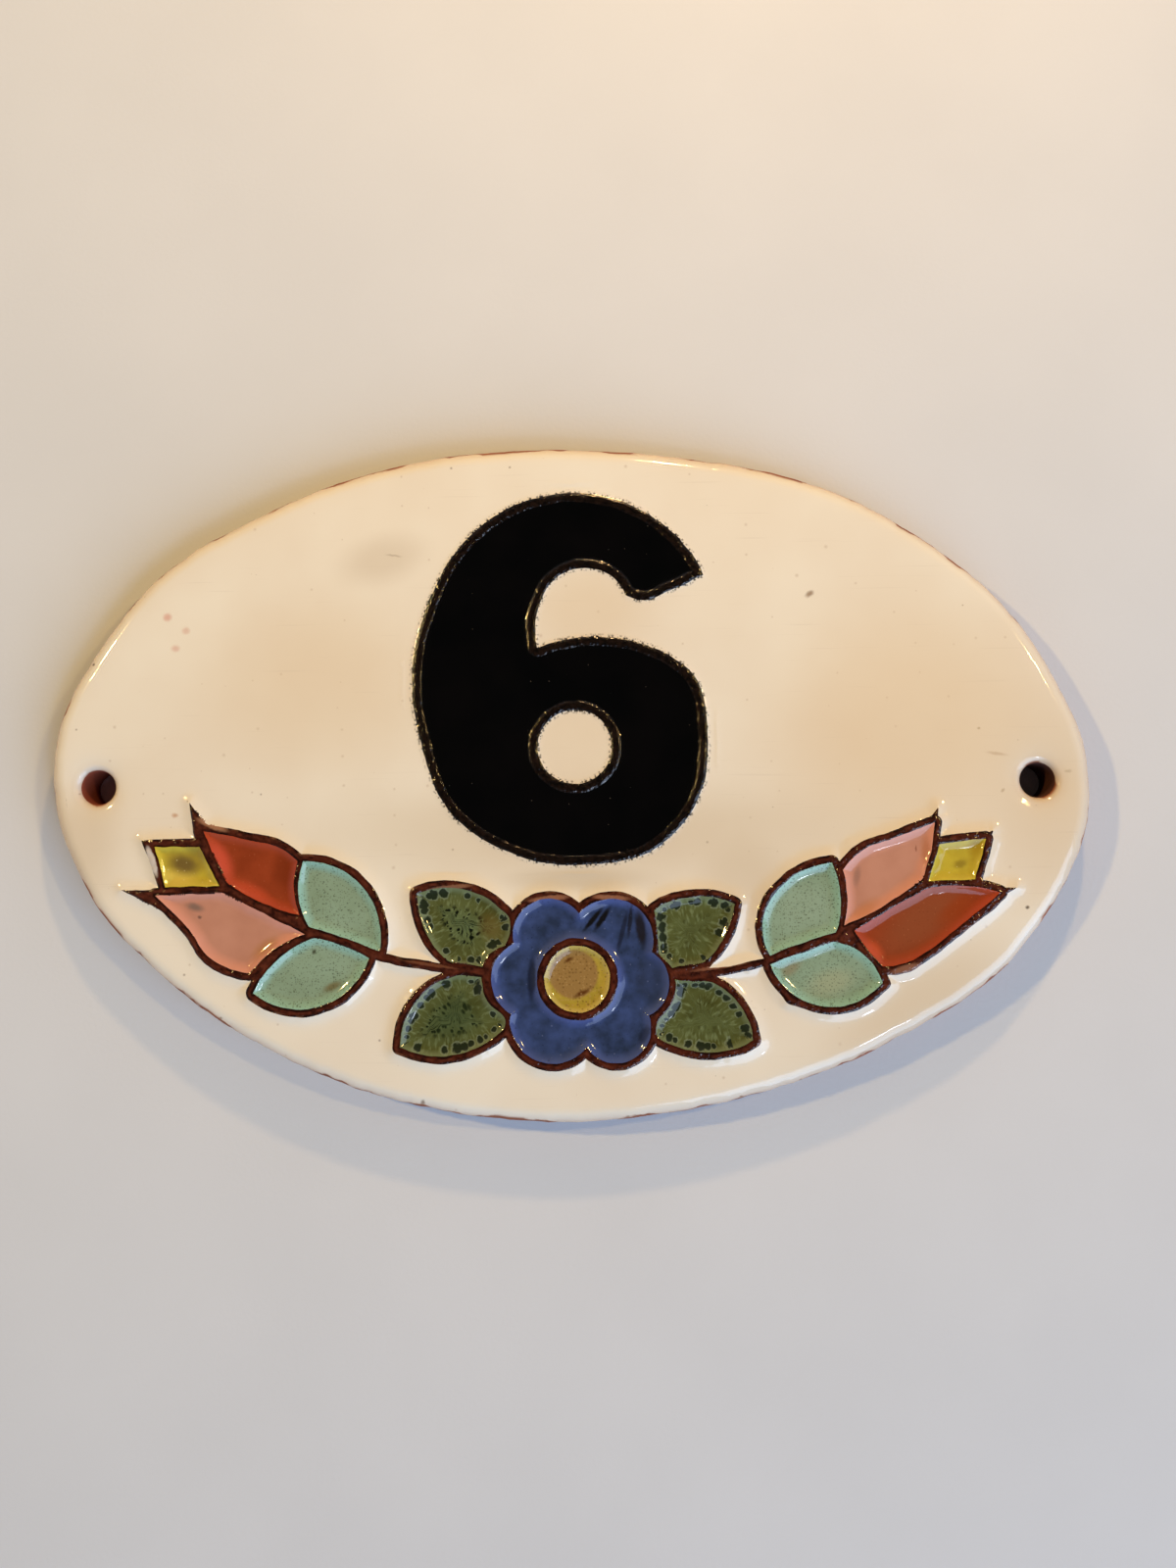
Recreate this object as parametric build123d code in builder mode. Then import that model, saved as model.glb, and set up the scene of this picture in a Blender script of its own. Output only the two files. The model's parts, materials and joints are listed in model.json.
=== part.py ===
"""House number plaque: one oval of glazed red clay, with the figure 6 over a spray of flowers.

Raised clay lines wall off flat pools of coloured glaze, and a screw hole goes through at each end.
The plaque lies on its back: the origin is at the middle of the back, +Z comes out of the face,
+Y points to the top of the figure and +X to its right. Sizes are millimetres.
"""
import os
from math import cos, radians, sin, sqrt

from build123d import *

# Body
oval_width = 178.9
oval_height = 116.53
oval_tilt = -0.93
oval_shift = (-0.01, 0.43)
body_thickness = 8.5
front_roll = 2.8
back_bevel = 0.8

# The edge was trimmed by hand: at each bearing it stands this far outside a true oval
edge_wander = {
    -180.0: 0.55,
    -157.5: -0.40,
    -142.5: -1.15,
    -120.0: -0.15,
    -97.5: 0.80,
    -75.0: 0.00,
    -52.5: -0.80,
    -30.0: 0.10,
    0.0: 0.55,
    22.5: -0.75,
    52.5: 0.45,
    82.5: -0.25,
    120.0: 0.00,
    150.0: 0.05,
}

# Screw holes, measured in from the two ends of the oval
hole_diameter = 5.8
hole_mouth = 1.5
hole_y = -0.84
left_hole_inset = 7.87
right_hole_inset = 8.74

# Raised lines
line_height = 0.8
petal_line = 1.3
stem_line = 1.1
stem_root = 0.4  # length that runs on into the tulip's knot
numeral_line = 1.6
numeral_line_height = 0.35  # painted on, so it stands out less

# Figure 6, placed by the middle of its bowl
numeral_height = 64.8
numeral_x = 1.4
numeral_drop = 53.20
bowl_radius = 6.4

# Rosette with its four leaves, placed by its eye
rosette_width = 30.1
rosette_x = 1.6
rosette_rise = 23.73
eye_radius = 5.6

# Tulips, each placed by the knot that ends its stem
tulip_reach = 39.6
left_knot_inset = 57.05
left_knot_rise = 27.83
right_knot_inset = 55.85
right_knot_rise = 26.83

# Outlines. A side starts at a corner and lists the points that it passes on its way to the next corner.
numeral_outline = [
    [
        (22.4, 29.7),
        (20.3, 33.8),
        (15.4, 38.9),
        (7.8, 43.1),
        (-1.4, 44.5),
        (-11.4, 41.9),
        (-19.8, 35.3),
        (-25.4, 24.9),
        (-28.1, 13.0),
        (-26.7, 1.3),
        (-21.4, -11.2),
        (-11.4, -18.1),
        (1.6, -20.3),
        (13.1, -17.9),
        (20.3, -10.7),
        (22.9, 2.0),
        (20.4, 12.4),
        (12.6, 17.5),
        (3.6, 19.1),
    ],
    [(-6.4, 17.3), (-6.3, 23.8), (-3.2, 29.3), (1.6, 31.2)],
    [(8.9, 26.4), (11.9, 25.4), (17.1, 27.3)],
]

rosette_outline = [
    [(0.4, 11.0), (8.8, 12.9)],
    [(12.6, 4.5), (15.5, -0.3)],
    [(12.1, -6.1), (10.0, -12.8)],
    [(1.4, -11.4), (-7.8, -13.1)],
    [(-11.3, -5.7), (-14.6, 0.0)],
    [(-10.8, 6.0), (-8.2, 12.5)],
]

upper_left_leaf = [
    [(-27.3, 14.6), (-18.6, 15.1)],
    [(-11.6, 10.4), (-11.5, 7.9)],
    [(-12.4, 5.7), (-15.0, 4.2)],
    [(-16.1, 2.2)],
    [(-21.8, 2.9), (-25.9, 8.5)],
]
lower_left_leaf = [
    [(-20.0, 1.0)],
    [(-16.3, 0.4), (-15.6, -2.9)],
    [(-12.9, -5.7), (-12.2, -7.3)],
    [(-13.0, -8.7), (-21.8, -12.7)],
    [(-30.1, -11.3), (-27.6, -3.9)],
]
upper_right_leaf = [
    [(13.1, 11.6), (13.6, 7.6)],
    [(13.7, 4.3)],
    [(16.1, 1.8)],
    [(21.4, 2.5), (24.8, 6.7)],
    [(26.8, 12.5), (20.0, 13.8)],
]
lower_right_leaf = [
    [(16.6, 0.0)],
    [(22.6, -0.4), (27.2, -4.3)],
    [(29.6, -10.5), (21.4, -12.3)],
    [(13.5, -9.9), (13.3, -7.8)],
    [(14.6, -5.9), (16.3, -3.3)],
]
leaves = [upper_left_leaf, lower_left_leaf, upper_right_leaf, lower_right_leaf]

# The stems meet the rosette at one point and fork between the leaves at another
left_stem = [(-15.8, 1.2), (-22.6, 1.9)]
right_stem = [(15.8, 0.8), (22.4, 1.0)]

left_red_petal = [
    [(-30.1, 21.4), (-22.4, 19.8), (-16.5, 18.3)],
    [(-13.8, 16.2), (-14.4, 11.8)],
    [(-13.4, 6.9), (-19.8, 9.1)],
    [(-25.9, 12.6)],
]
left_yellow_petal = [
    [(-38.5, 18.7)],
    [(-30.8, 18.7)],
    [(-27.3, 12.0)],
    [(-36.5, 11.9)],
]
left_pink_petal = [
    [(-38.2, 10.4)],
    [(-26.6, 10.8), (-19.2, 7.1)],
    [(-12.5, 3.8), (-17.4, 1.4)],
    [(-21.8, -2.8), (-27.5, -1.0), (-33.1, 5.5)],
]
left_upper_bract = [
    [(-12.8, 16.1), (-3.7, 12.8)],
    [(0.3, 0.7), (-5.8, 3.1)],
    [(-11.8, 5.0), (-13.6, 10.6)],
]
left_lower_bract = [
    [(-11.0, 3.1), (-6.2, 1.8)],
    [(-1.5, -0.4), (-8.2, -7.9), (-14.6, -8.9)],
    [(-21.2, -6.2), (-17.2, -0.7)],
]
left_tulip = [left_red_petal, left_yellow_petal, left_pink_petal, left_upper_bract, left_lower_bract]

# The outer petals of the tulips run out into points of bare line, each from two places on its edge.
# On the right, the last one is the bare line where three petals meet.
left_petal_points = [
    [(-32.7, 26.4), (-31.6, 19.5), (-28.9, 22.0)],
    [(-40.8, 20.0), (-37.6, 11.4), (-29.8, 20.3)],
    [(-44.2, 11.4), (-36.0, 7.1), (-37.8, 11.3)],
]

right_pink_petal = [
    [(13.2, 15.1), (16.6, 18.3), (22.0, 20.4)],
    [(28.9, 23.0), (28.2, 18.6)],
    [(26.6, 13.5), (19.8, 8.9)],
    [(13.2, 5.7), (13.8, 10.6)],
]
right_yellow_petal = [
    [(29.6, 19.3)],
    [(37.5, 20.2)],
    [(35.4, 13.3)],
    [(27.6, 13.1)],
]
right_red_petal = [
    [(27.3, 11.8), (32.4, 12.3)],
    [(39.6, 11.0), (32.2, 5.1), (25.4, 0.4)],
    [(19.4, -1.1), (16.8, 1.8)],
    [(14.9, 4.8), (21.0, 8.4)],
]
right_upper_bract = [
    [(11.4, 16.3), (4.0, 13.4), (-0.2, 7.4)],
    [(0.6, 0.7), (6.2, 2.8)],
    [(11.8, 4.5), (12.7, 10.2)],
]
right_lower_bract = [
    [(0.5, -0.7), (6.2, 1.2)],
    [(11.5, 3.0), (16.7, 0.4)],
    [(19.5, -3.9), (11.0, -7.9)],
]
right_tulip = [right_pink_petal, right_yellow_petal, right_red_petal, right_upper_bract, right_lower_bract]

right_petal_points = [
    [(29.6, 25.7), (27.8, 23.2), (29.6, 22.2)],
    [(38.9, 21.6), (36.6, 20.9), (37.9, 19.4)],
    [(42.5, 11.9), (38.4, 11.9), (39.2, 9.8)],
    [(12.2, 4.4), (14.6, 4.7), (13.9, 3.0)],
]


def reach(outline, axis):
    """Distance between the lowest and the highest drawn point of an outline, along X (0) or Y (1)."""
    values = [point[axis] for side in outline for point in side]
    return max(values) - min(values)


def placed(point, anchor, scale):
    return (anchor[0] + scale * point[0], anchor[1] + scale * point[1])


def heading(start, end):
    """Direction from one point to another, as a complex number of length 1."""
    step = complex(*end) - complex(*start)
    return step / abs(step)


def circle_heading(a, b, c, at):
    """Heading, at one of three points, of the circle that passes through them in order."""
    beside = {a: heading(b, c), b: heading(a, c), c: heading(a, b)}[at]
    return heading(a, b) * heading(b, c) * heading(a, c) / beside**2


def arc_pair(start, end, leave, arrive):
    """Draw two arcs from one point to another that keep the heading at both ends."""
    span = complex(*end) - complex(*start)
    along = (span.conjugate() * (leave + arrive)).real
    bend = 2 * (1 - (leave.conjugate() * arrive).real)
    handle = abs(span) ** 2 / (sqrt(along**2 + bend * abs(span) ** 2) + along)
    middle = complex(*start) + (span + handle * (leave - arrive)) / 2
    TangentArc(start, (middle.real, middle.imag), tangent=(leave.real, leave.imag))
    TangentArc(end, (middle.real, middle.imag), tangent=(-arrive.real, -arrive.imag))


def smooth_run(points):
    """Draw a smooth open curve through points, inside the open line."""
    threes = [points[:3], *zip(points, points[1:], points[2:]), points[-3:]]
    headings = [circle_heading(*three, at) for three, at in zip(threes, points)]
    for index in range(len(points) - 1):
        arc_pair(points[index], points[index + 1], headings[index], headings[index + 1])


def smooth_loop(points):
    """Draw a smooth closed curve through points, inside the open line."""
    before = points[-1:] + points[:-1]
    after = points[1:] + points[:1]
    headings = [circle_heading(a, b, c, b) for a, b, c in zip(before, points, after)]
    for index in range(len(points)):
        arc_pair(points[index - 1], points[index], headings[index - 1], headings[index])


def draw(outline, anchor, scale):
    """Make a face inside the open sketch. A side of two points is straight, and of three an arc."""
    with BuildLine() as edge:
        for side, following in zip(outline, outline[1:] + outline[:1]):
            points = [placed(point, anchor, scale) for point in [*side, following[0]]]
            if len(points) == 2:
                Line(*points)
            elif len(points) == 3:
                ThreePointArc(*points)
            else:
                smooth_run(points)
    make_face(edge.edges())


# Places that follow the oval
left_end = oval_shift[0] - oval_width / 2
right_end = oval_shift[0] + oval_width / 2
lowest = oval_shift[1] - oval_height / 2
highest = oval_shift[1] + oval_height / 2

numeral_scale = numeral_height / reach(numeral_outline, 1)
numeral_anchor = (numeral_x, highest - numeral_drop)

rosette_scale = rosette_width / reach(rosette_outline, 0)
rosette_anchor = (rosette_x, lowest + rosette_rise)

tulip_scale = tulip_reach / max(point[0] for point in right_red_petal[1])
left_knot = (left_end + left_knot_inset, lowest + left_knot_rise)
right_knot = (right_end - right_knot_inset, lowest + right_knot_rise)

# Every petal and leaf with the group it belongs to
drawn_pools = [(leaf, rosette_anchor, rosette_scale) for leaf in leaves]
drawn_pools += [(petal, left_knot, tulip_scale) for petal in left_tulip]
drawn_pools += [(petal, right_knot, tulip_scale) for petal in right_tulip]


def edge_point(bearing, outside):
    """Point of the hand-trimmed edge at a bearing in degrees."""
    angle = radians(bearing)
    along = (oval_width / 2 + outside) * cos(angle)
    across = (oval_height / 2 + outside) * sin(angle)
    turn = radians(oval_tilt)
    return (
        oval_shift[0] + along * cos(turn) - across * sin(turn),
        oval_shift[1] + along * sin(turn) + across * cos(turn),
    )


def draw_oval(inset):
    """Make a face inside the open sketch: the trimmed oval, drawn in from its edge."""
    with BuildLine() as edge:
        smooth_loop([edge_point(bearing, outside - inset) for bearing, outside in edge_wander.items()])
    make_face(edge.edges())


with BuildSketch() as oval:
    draw_oval(0)

# Flat part of the face, inside the rolled edge: the lines stop there
with BuildSketch() as flat:
    draw_oval(front_roll)

with BuildSketch() as petals:
    for pool in drawn_pools:
        draw(*pool)

with BuildSketch() as rosette:
    draw(rosette_outline, rosette_anchor, rosette_scale)

with BuildSketch() as numeral:
    draw(numeral_outline, numeral_anchor, numeral_scale)

with BuildSketch() as flower_lines:
    for pool in petals.sketch.faces() + rosette.sketch.faces():
        offset(pool, amount=petal_line, mode=Mode.ADD)
    for petal_points, knot in ((left_petal_points, left_knot), (right_petal_points, right_knot)):
        for points in petal_points:
            Polygon(*[placed(point, knot, tulip_scale) for point in points], align=None)
    for stem, knot, root in ((left_stem, left_knot, -stem_root), (right_stem, right_knot, stem_root)):
        stem_points = [placed(point, rosette_anchor, rosette_scale) for point in stem]
        with BuildLine():
            path = ThreePointArc(*stem_points, (knot[0] + root, knot[1]))
        trace(path, line_width=stem_line)
    add(petals.sketch, mode=Mode.SUBTRACT)
    add(rosette.sketch, mode=Mode.SUBTRACT)
    with Locations(rosette_anchor):
        Circle(eye_radius + petal_line)
        Circle(eye_radius, mode=Mode.SUBTRACT)
    add(flat.sketch, mode=Mode.INTERSECT)

with BuildSketch() as numeral_lines:
    add(numeral.sketch)
    offset(numeral.sketch, amount=-numeral_line, mode=Mode.SUBTRACT)
    with Locations(numeral_anchor):
        Circle(bowl_radius + numeral_line)
        Circle(bowl_radius, mode=Mode.SUBTRACT)
    add(flat.sketch, mode=Mode.INTERSECT)

with BuildPart() as plaque:
    add(oval.sketch)
    extrude(amount=body_thickness)
    fillet(plaque.edges().group_by(Axis.Z)[-1], radius=front_roll)
    chamfer(plaque.edges().group_by(Axis.Z)[0], length=back_bevel)
    face_plane = Plane.XY.offset(body_thickness)
    with Locations(face_plane):
        with Locations((left_end + left_hole_inset, hole_y), (right_end - right_hole_inset, hole_y)):
            Hole(radius=hole_diameter / 2)
    round_walls = plaque.faces().filter_by(GeomType.CYLINDER)
    hole_walls = round_walls.filter_by(lambda wall: wall.radius == hole_diameter / 2)
    fillet([wall.edges().sort_by(Axis.Z)[-1] for wall in hole_walls], radius=hole_mouth)
    with BuildSketch(face_plane):
        add(flower_lines.sketch)
    extrude(amount=line_height)
    with BuildSketch(face_plane):
        add(numeral_lines.sketch)
    extrude(amount=numeral_line_height)

plaque.part.label = "plaque"
os.makedirs("parts", exist_ok=True)
export_step(plaque.part, "parts/plaque.step")
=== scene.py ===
"""Looks of the house number plaque: red clay under poured glazes, walled off by raised dark lines.

Face, rim, holes and back are one closed skin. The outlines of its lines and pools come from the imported
solid, and the beads, the glaze that climbs them and the hand-made unevenness are shaped here.
Lengths are millimetres until the mesh is written.
"""
import json
from math import acos, ceil, cos, degrees, inf, pi, radians, sin

import bpy
import numpy as np
from mathutils import Matrix, Vector, geometry, kdtree, noise
from mathutils.bvhtree import BVHTree


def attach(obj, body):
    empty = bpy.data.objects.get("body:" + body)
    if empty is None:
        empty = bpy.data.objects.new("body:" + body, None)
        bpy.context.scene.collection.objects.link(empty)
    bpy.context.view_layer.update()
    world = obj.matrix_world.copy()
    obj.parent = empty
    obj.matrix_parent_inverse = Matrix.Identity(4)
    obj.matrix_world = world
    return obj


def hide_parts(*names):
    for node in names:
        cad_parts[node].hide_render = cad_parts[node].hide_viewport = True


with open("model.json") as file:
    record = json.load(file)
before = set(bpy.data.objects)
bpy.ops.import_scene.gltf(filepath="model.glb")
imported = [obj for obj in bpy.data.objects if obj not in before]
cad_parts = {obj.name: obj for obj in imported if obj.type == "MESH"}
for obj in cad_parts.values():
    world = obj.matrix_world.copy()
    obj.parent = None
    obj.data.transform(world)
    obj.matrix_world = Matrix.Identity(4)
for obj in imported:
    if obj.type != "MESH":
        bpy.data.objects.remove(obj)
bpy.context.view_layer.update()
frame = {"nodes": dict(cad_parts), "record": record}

MM = 0.001

# Relief of the glazed face
flower_climb = 0.72  # height at which glaze meets a line of the flowers
figure_climb = 0.10  # and of the figure, which is drawn on the face and hardly stands out
ground_climb = 0.60  # the white glaze round the flowers is a little thinner
ground_reach = 2.3  # width of the slope by which the white glaze climbs a line
pool_reach = 1.9
figure_reach = 0.9
bead_shoulder = 0.55  # width over which a line rounds up to its crest
figure_margin = 3.0  # the figure's own lines lie this close around its black field
crest_slack = 0.06  # crests stay this far below the solid's lines, to leave room for their grains
hole_dip = 0.30  # the glaze sinks this far at the mouth of a hole
hole_dip_reach = 1.5

# Unevenness of the hand-made face: each is an amount, the size of its bumps and a seed
climb_drift = (0.25, 7.0, 1.5)
ground_swell = (0.09, 28.0, 5.5)
crest_grains = [(0.05, 0.7, 8.5), (0.04, 2.2, 3.5)]
line_wobbles = [(0.14, 3.5, 11.5), (0.09, 1.4, 21.5)]
roll_wobbles = [(0.10, 2.5, 31.5), (0.10, 6.0, 35.5)]
seed_step = 4.0  # between the seeds of a wobble along x and along y

# Lumps where clay swelled a line outward: x, y, reach and push
line_lumps = [
    (55.2, -33.6, 2.0, 0.15, -0.60),
    (58.2, -32.9, 2.0, 0.15, -0.60),
    (37.2, -38.3, 1.3, -0.35, -0.45),
    (48.2, -11.4, 0.9, -0.15, 0.35),
]

# The stems swelled to both sides of their middle lines
stem_spread = 0.50
stem_reach = 1.2
stem_runs = [
    [(-31.0, -30.5), (-24.0, -31.9), (-17.0, -32.8)],
    [(19.5, -33.2), (24.4, -32.9), (31.5, -31.4)],
]

# Mesh spacing: fine by the lines, coarse on the open ground
fine_spacing = 0.30
medium_spacing = 0.75
open_spacing = 1.6
fine_reach = 1.8
medium_reach = 4.5
rim_spacing = 0.8
back_spacing = 5.0
dense_spacing = 0.05  # of the points by which distances from the lines are found
curve_points = 6  # on the curve between two neighbouring corners of an outline
outline_clearance = 0.6  # share of their spacing by which grid points stay off an outline
weld_gap = 1e-5  # points closer than this become one
edge_width = 0.02  # points this close to an edge belong to the glaze beside the line
flatness = 0.005  # level triangles are no more than this out of level
ray_start = 10.0  # rays look down from this far above the face
roll_steps = 10  # rings of the rolled edge
side_steps = 5
mouth_steps = 7  # rings of the rounded mouth of a hole
wall_steps = 8

# A spot inside each pool names its glaze. Everything else on the face is white.
pool_spots = {
    "red": [(-54, -15), (60, -24)],
    "pink": [(-58, -25), (54, -16)],
    "yellow": [(-66, -14.5), (66, -14.5)],
    "mint": [(-39, -21), (-44, -33), (40, -22), (44, -33)],
    "leaf": [(-18, -25), (-19, -40), (20.5, -26), (22, -39.5)],
    "blue": [(1.6, -43)],
    "ochre": [(1.6, -34)],
    "black": [(-15, 15)],
}


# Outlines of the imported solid
def solid_triangles(node):
    """Welded corners of a CAD node in millimetres, and its triangles."""
    mesh = node.data
    mesh.calc_loop_triangles()
    spots = np.empty(len(mesh.vertices) * 3, np.float32)
    mesh.vertices.foreach_get("co", spots)
    corners = np.empty(len(mesh.loop_triangles) * 3, np.int32)
    mesh.loop_triangles.foreach_get("vertices", corners)
    spots, weld = np.unique(np.round(spots.reshape(-1, 3) / MM, 3), axis=0, return_inverse=True)
    return spots, weld.reshape(-1)[corners].reshape(-1, 3)


def edge_owners(triangles):
    """Each directed edge, with the triangle that it belongs to."""
    owners = {}
    for index, (a, b, c) in enumerate(triangles.tolist()):
        owners.update({(a, b): index, (b, c): index, (c, a): index})
    return owners


def island_numbers(triangles):
    """Number the islands of triangles that hang together by their edges."""
    owners = edge_owners(triangles)
    numbers = np.full(len(triangles), -1)
    count = 0
    for first in range(len(triangles)):
        if numbers[first] >= 0:
            continue
        numbers[first] = count
        waiting = [first]
        while waiting:
            a, b, c = triangles[waiting.pop()].tolist()
            for edge in ((b, a), (c, b), (a, c)):
                beside = owners.get(edge)
                if beside is not None and numbers[beside] < 0:
                    numbers[beside] = count
                    waiting.append(beside)
        count += 1
    return numbers


def boundary_loops(triangles):
    """Closed runs of corners around triangles, each with one triangle beside it."""
    owners = edge_owners(triangles)
    follow = {a: b for a, b in owners if (b, a) not in owners}
    loops = []
    while follow:
        start, here = follow.popitem()
        loop = [start]
        beside = owners[start, here]
        while here != start:
            loop.append(here)
            here = follow.pop(here)
        loops.append((loop, beside))
    return loops


def turn_at(loop, index):
    """Angle in degrees by which a closed outline turns at a point."""
    before = loop[index] - loop[index - 1]
    after = loop[(index + 1) % len(loop)] - loop[index]
    cosine = before @ after / (np.linalg.norm(before) * np.linalg.norm(after))
    return degrees(acos(max(-1.0, min(1.0, cosine))))


def curve_between(before, start, end, after, count):
    """Points of a centripetal spline from start, up to but without end."""
    pairs = ((before, start), (start, end), (end, after))
    knots = np.cumsum([0, *[np.linalg.norm(b - a) ** 0.5 for a, b in pairs]])
    at = np.linspace(knots[1], knots[2], count, endpoint=False)[:, None]

    def blend(first, second, low, high):
        return (first * (high - at) + second * (at - low)) / (high - low)

    one = blend(before, start, knots[0], knots[1])
    two = blend(start, end, knots[1], knots[2])
    three = blend(end, after, knots[2], knots[3])
    left = blend(one, two, knots[0], knots[2])
    right = blend(two, three, knots[1], knots[3])
    return blend(left, right, knots[1], knots[2])


def rounded(loop, spacing, corner_turn=40):
    """Redraw a closed outline with even spacing: a smooth curve between its corners."""
    count = len(loop)
    corners = [index for index in range(count) if turn_at(loop, index) > corner_turn]
    starts = corners or [0]
    points = []
    for begin, finish in zip(starts, starts[1:] + [starts[0] + count]):
        run = []
        for index in range(begin, finish):
            start, end = loop[index % count], loop[(index + 1) % count]
            before = 2 * start - end if index % count in corners else loop[(index - 1) % count]
            after = 2 * end - start if (index + 1) % count in corners else loop[(index + 2) % count]
            run.append(curve_between(before, start, end, after, curve_points))
        run = np.concatenate([*run, [loop[finish % count]]])
        length = np.concatenate([[0], np.cumsum(np.linalg.norm(np.diff(run, axis=0), axis=1))])
        even = np.linspace(0, length[-1], max(2, round(length[-1] / spacing)), endpoint=False)
        points.append(np.stack([np.interp(even, length, run[:, axis]) for axis in (0, 1)], -1))
    return np.concatenate(points)


def loop_area(loop):
    """Area inside a closed outline, negative if it runs clockwise."""
    x, y = np.asarray(loop).T
    return (x @ np.roll(y, -1) - y @ np.roll(x, -1)) / 2


def circle(centre, radius, spacing):
    """Points around a circle, at most a spacing apart."""
    angles = np.linspace(0, 2 * pi, ceil(2 * pi * radius / spacing), endpoint=False)
    return np.asarray(centre) + radius * np.stack([np.cos(angles), np.sin(angles)], -1)


def tree_of(points):
    """Search tree of points of the face."""
    tree = kdtree.KDTree(len(points))
    for index, (x, y) in enumerate(points):
        tree.insert((x, y, 0), index)
    tree.balance()
    return tree


def distances(tree, points):
    """Distance of each point from the nearest one in a tree."""
    return np.array([tree.find((x, y, 0))[2] for x, y in points])


def nearest_numbers(tree, points):
    """Number of the nearest point in a tree to each point."""
    return np.array([tree.find((x, y, 0))[1] for x, y in points])


def uneven(points, amount, size, seed):
    """Smooth noise at points, from minus to plus an amount, in bumps of a size in millimetres."""
    return amount * np.array([noise.noise((x / size, y / size, seed)) for x, y in points])


spots, triangles = solid_triangles(frame["nodes"]["plaque"])
corners = spots[triangles]
spans = np.cross(corners[:, 1] - corners[:, 0], corners[:, 2] - corners[:, 0])
is_level = np.ptp(corners[:, :, 2], axis=1) < flatness
level_area = {}
for height, area in zip(np.round(corners[is_level, 0, 2], 2), spans[is_level, 2]):
    level_area[height] = level_area.get(height, 0) + area
face_level = float(max(level_area, key=level_area.get))
line_height = float(spots[:, 2].max()) - face_level

flat = (np.abs(corners[:, :, 2] - face_level).max(axis=1) < flatness) & (spans[:, 2] > 0)
flat_triangles = triangles[flat]
flat_islands = island_numbers(flat_triangles)
island_of = np.full(len(triangles), -1)
island_of[flat] = flat_islands
solid_tree = BVHTree.FromPolygons(spots.tolist(), triangles.tolist())


def islands_at(points):
    """The pool under each point of the face, or -1 on a line."""
    found = []
    for x, y in points:
        hit = solid_tree.ray_cast((x, y, face_level + ray_start), (0, 0, -1))
        found.append(-1 if hit[2] is None else island_of[hit[2]])
    return np.array(found)


bores = [mount for mount in frame["record"]["mounts"] if mount["kind"] == "bore"]
hole_centres = [(mount["pos_m"][0] / MM, mount["pos_m"][1] / MM) for mount in bores]
hole_radius = bores[0]["dims"]["r_mm"]


def from_holes(points):
    """Distance of each point from the middle of the nearest hole."""
    return np.min([np.linalg.norm(points - centre, axis=1) for centre in hole_centres], axis=0)


# Outlines of the level face: the largest is the rim, the others are lines and the mouths of the holes
all_loops = [(spots[loop][:, :2], flat_islands[beside]) for loop, beside in boundary_loops(flat_triangles)]
all_loops.sort(key=lambda item: -abs(loop_area(item[0])))
rim_loop = all_loops[0][0]
mouth_radius = hole_radius
line_loops = []
for loop, island in all_loops[1:]:
    centre = loop.mean(axis=0)
    if from_holes(centre[None])[0] < hole_radius:
        mouth_radius = np.linalg.norm(loop - centre, axis=1).max()
    else:
        line_loops.append((loop, island))
mouth_round = mouth_radius - hole_radius
roll_radius = spots[:, 0].max() - rim_loop[:, 0].max()
back_inset = spots[:, 0].max() - spots[spots[:, 2] < flatness][:, 0].max()
glaze_of_island = {}
for glaze, places in pool_spots.items():
    for island in islands_at(places):
        glaze_of_island[island] = glaze

# Box around the figure, to tell its lines from the flowers'
black_island = islands_at(pool_spots["black"])[0]
black_corners = spots[flat_triangles[flat_islands == black_island]].reshape(-1, 3)[:, :2]
figure_low = black_corners.min(axis=0) - figure_margin
figure_high = black_corners.max(axis=0) + figure_margin


def in_figure(points):
    """Whether each point lies in the box around the figure."""
    return ((points > figure_low) & (points < figure_high)).all(axis=1)


figure_height = float(spots[in_figure(spots[:, :2])][:, 2].max()) - face_level

# Trees of dense points along the lines' edges: all of them, and those on the white side
dense = [(rounded(loop, dense_spacing), island) for loop, island in line_loops]
edge_tree = tree_of(np.concatenate([points for points, island in dense]))
shore_tree = tree_of(np.concatenate([points for points, island in dense if island not in glaze_of_island]))

# Points of the face
outlines = [rounded(rim_loop, rim_spacing)]
outlines += [circle(centre, mouth_radius, fine_spacing) for centre in hole_centres]
outlines += [rounded(loop, fine_spacing) for loop, island in line_loops]
outline_tree = tree_of(np.concatenate(outlines))


def inside(points, loop):
    """Whether each point lies inside a closed outline."""
    x, y = points[:, :1], points[:, 1:]
    ax, ay = loop.T
    bx, by = np.roll(loop, -1, axis=0).T
    with np.errstate(divide="ignore", invalid="ignore"):
        crossed = ((ay > y) != (by > y)) & (x < (bx - ax) * (y - ay) / (by - ay) + ax)
    return crossed.sum(axis=1) % 2 == 1


def in_blocks(test, points, *rest, size=4000):
    """A test of many points, done in blocks to spare memory."""
    return np.concatenate([test(points[at:at + size], *rest) for at in range(0, len(points), size)])


def honeycomb(spacing, low, high):
    """Even triangular grid of points over a box."""
    rows = np.arange(low[1], high[1], spacing * sin(radians(60)))
    columns = np.arange(low[0], high[0], spacing)
    x, y = np.meshgrid(columns, rows)
    x = x + (np.arange(len(rows)) % 2)[:, None] * spacing / 2
    return np.stack([x.ravel(), y.ravel()], -1)


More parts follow.
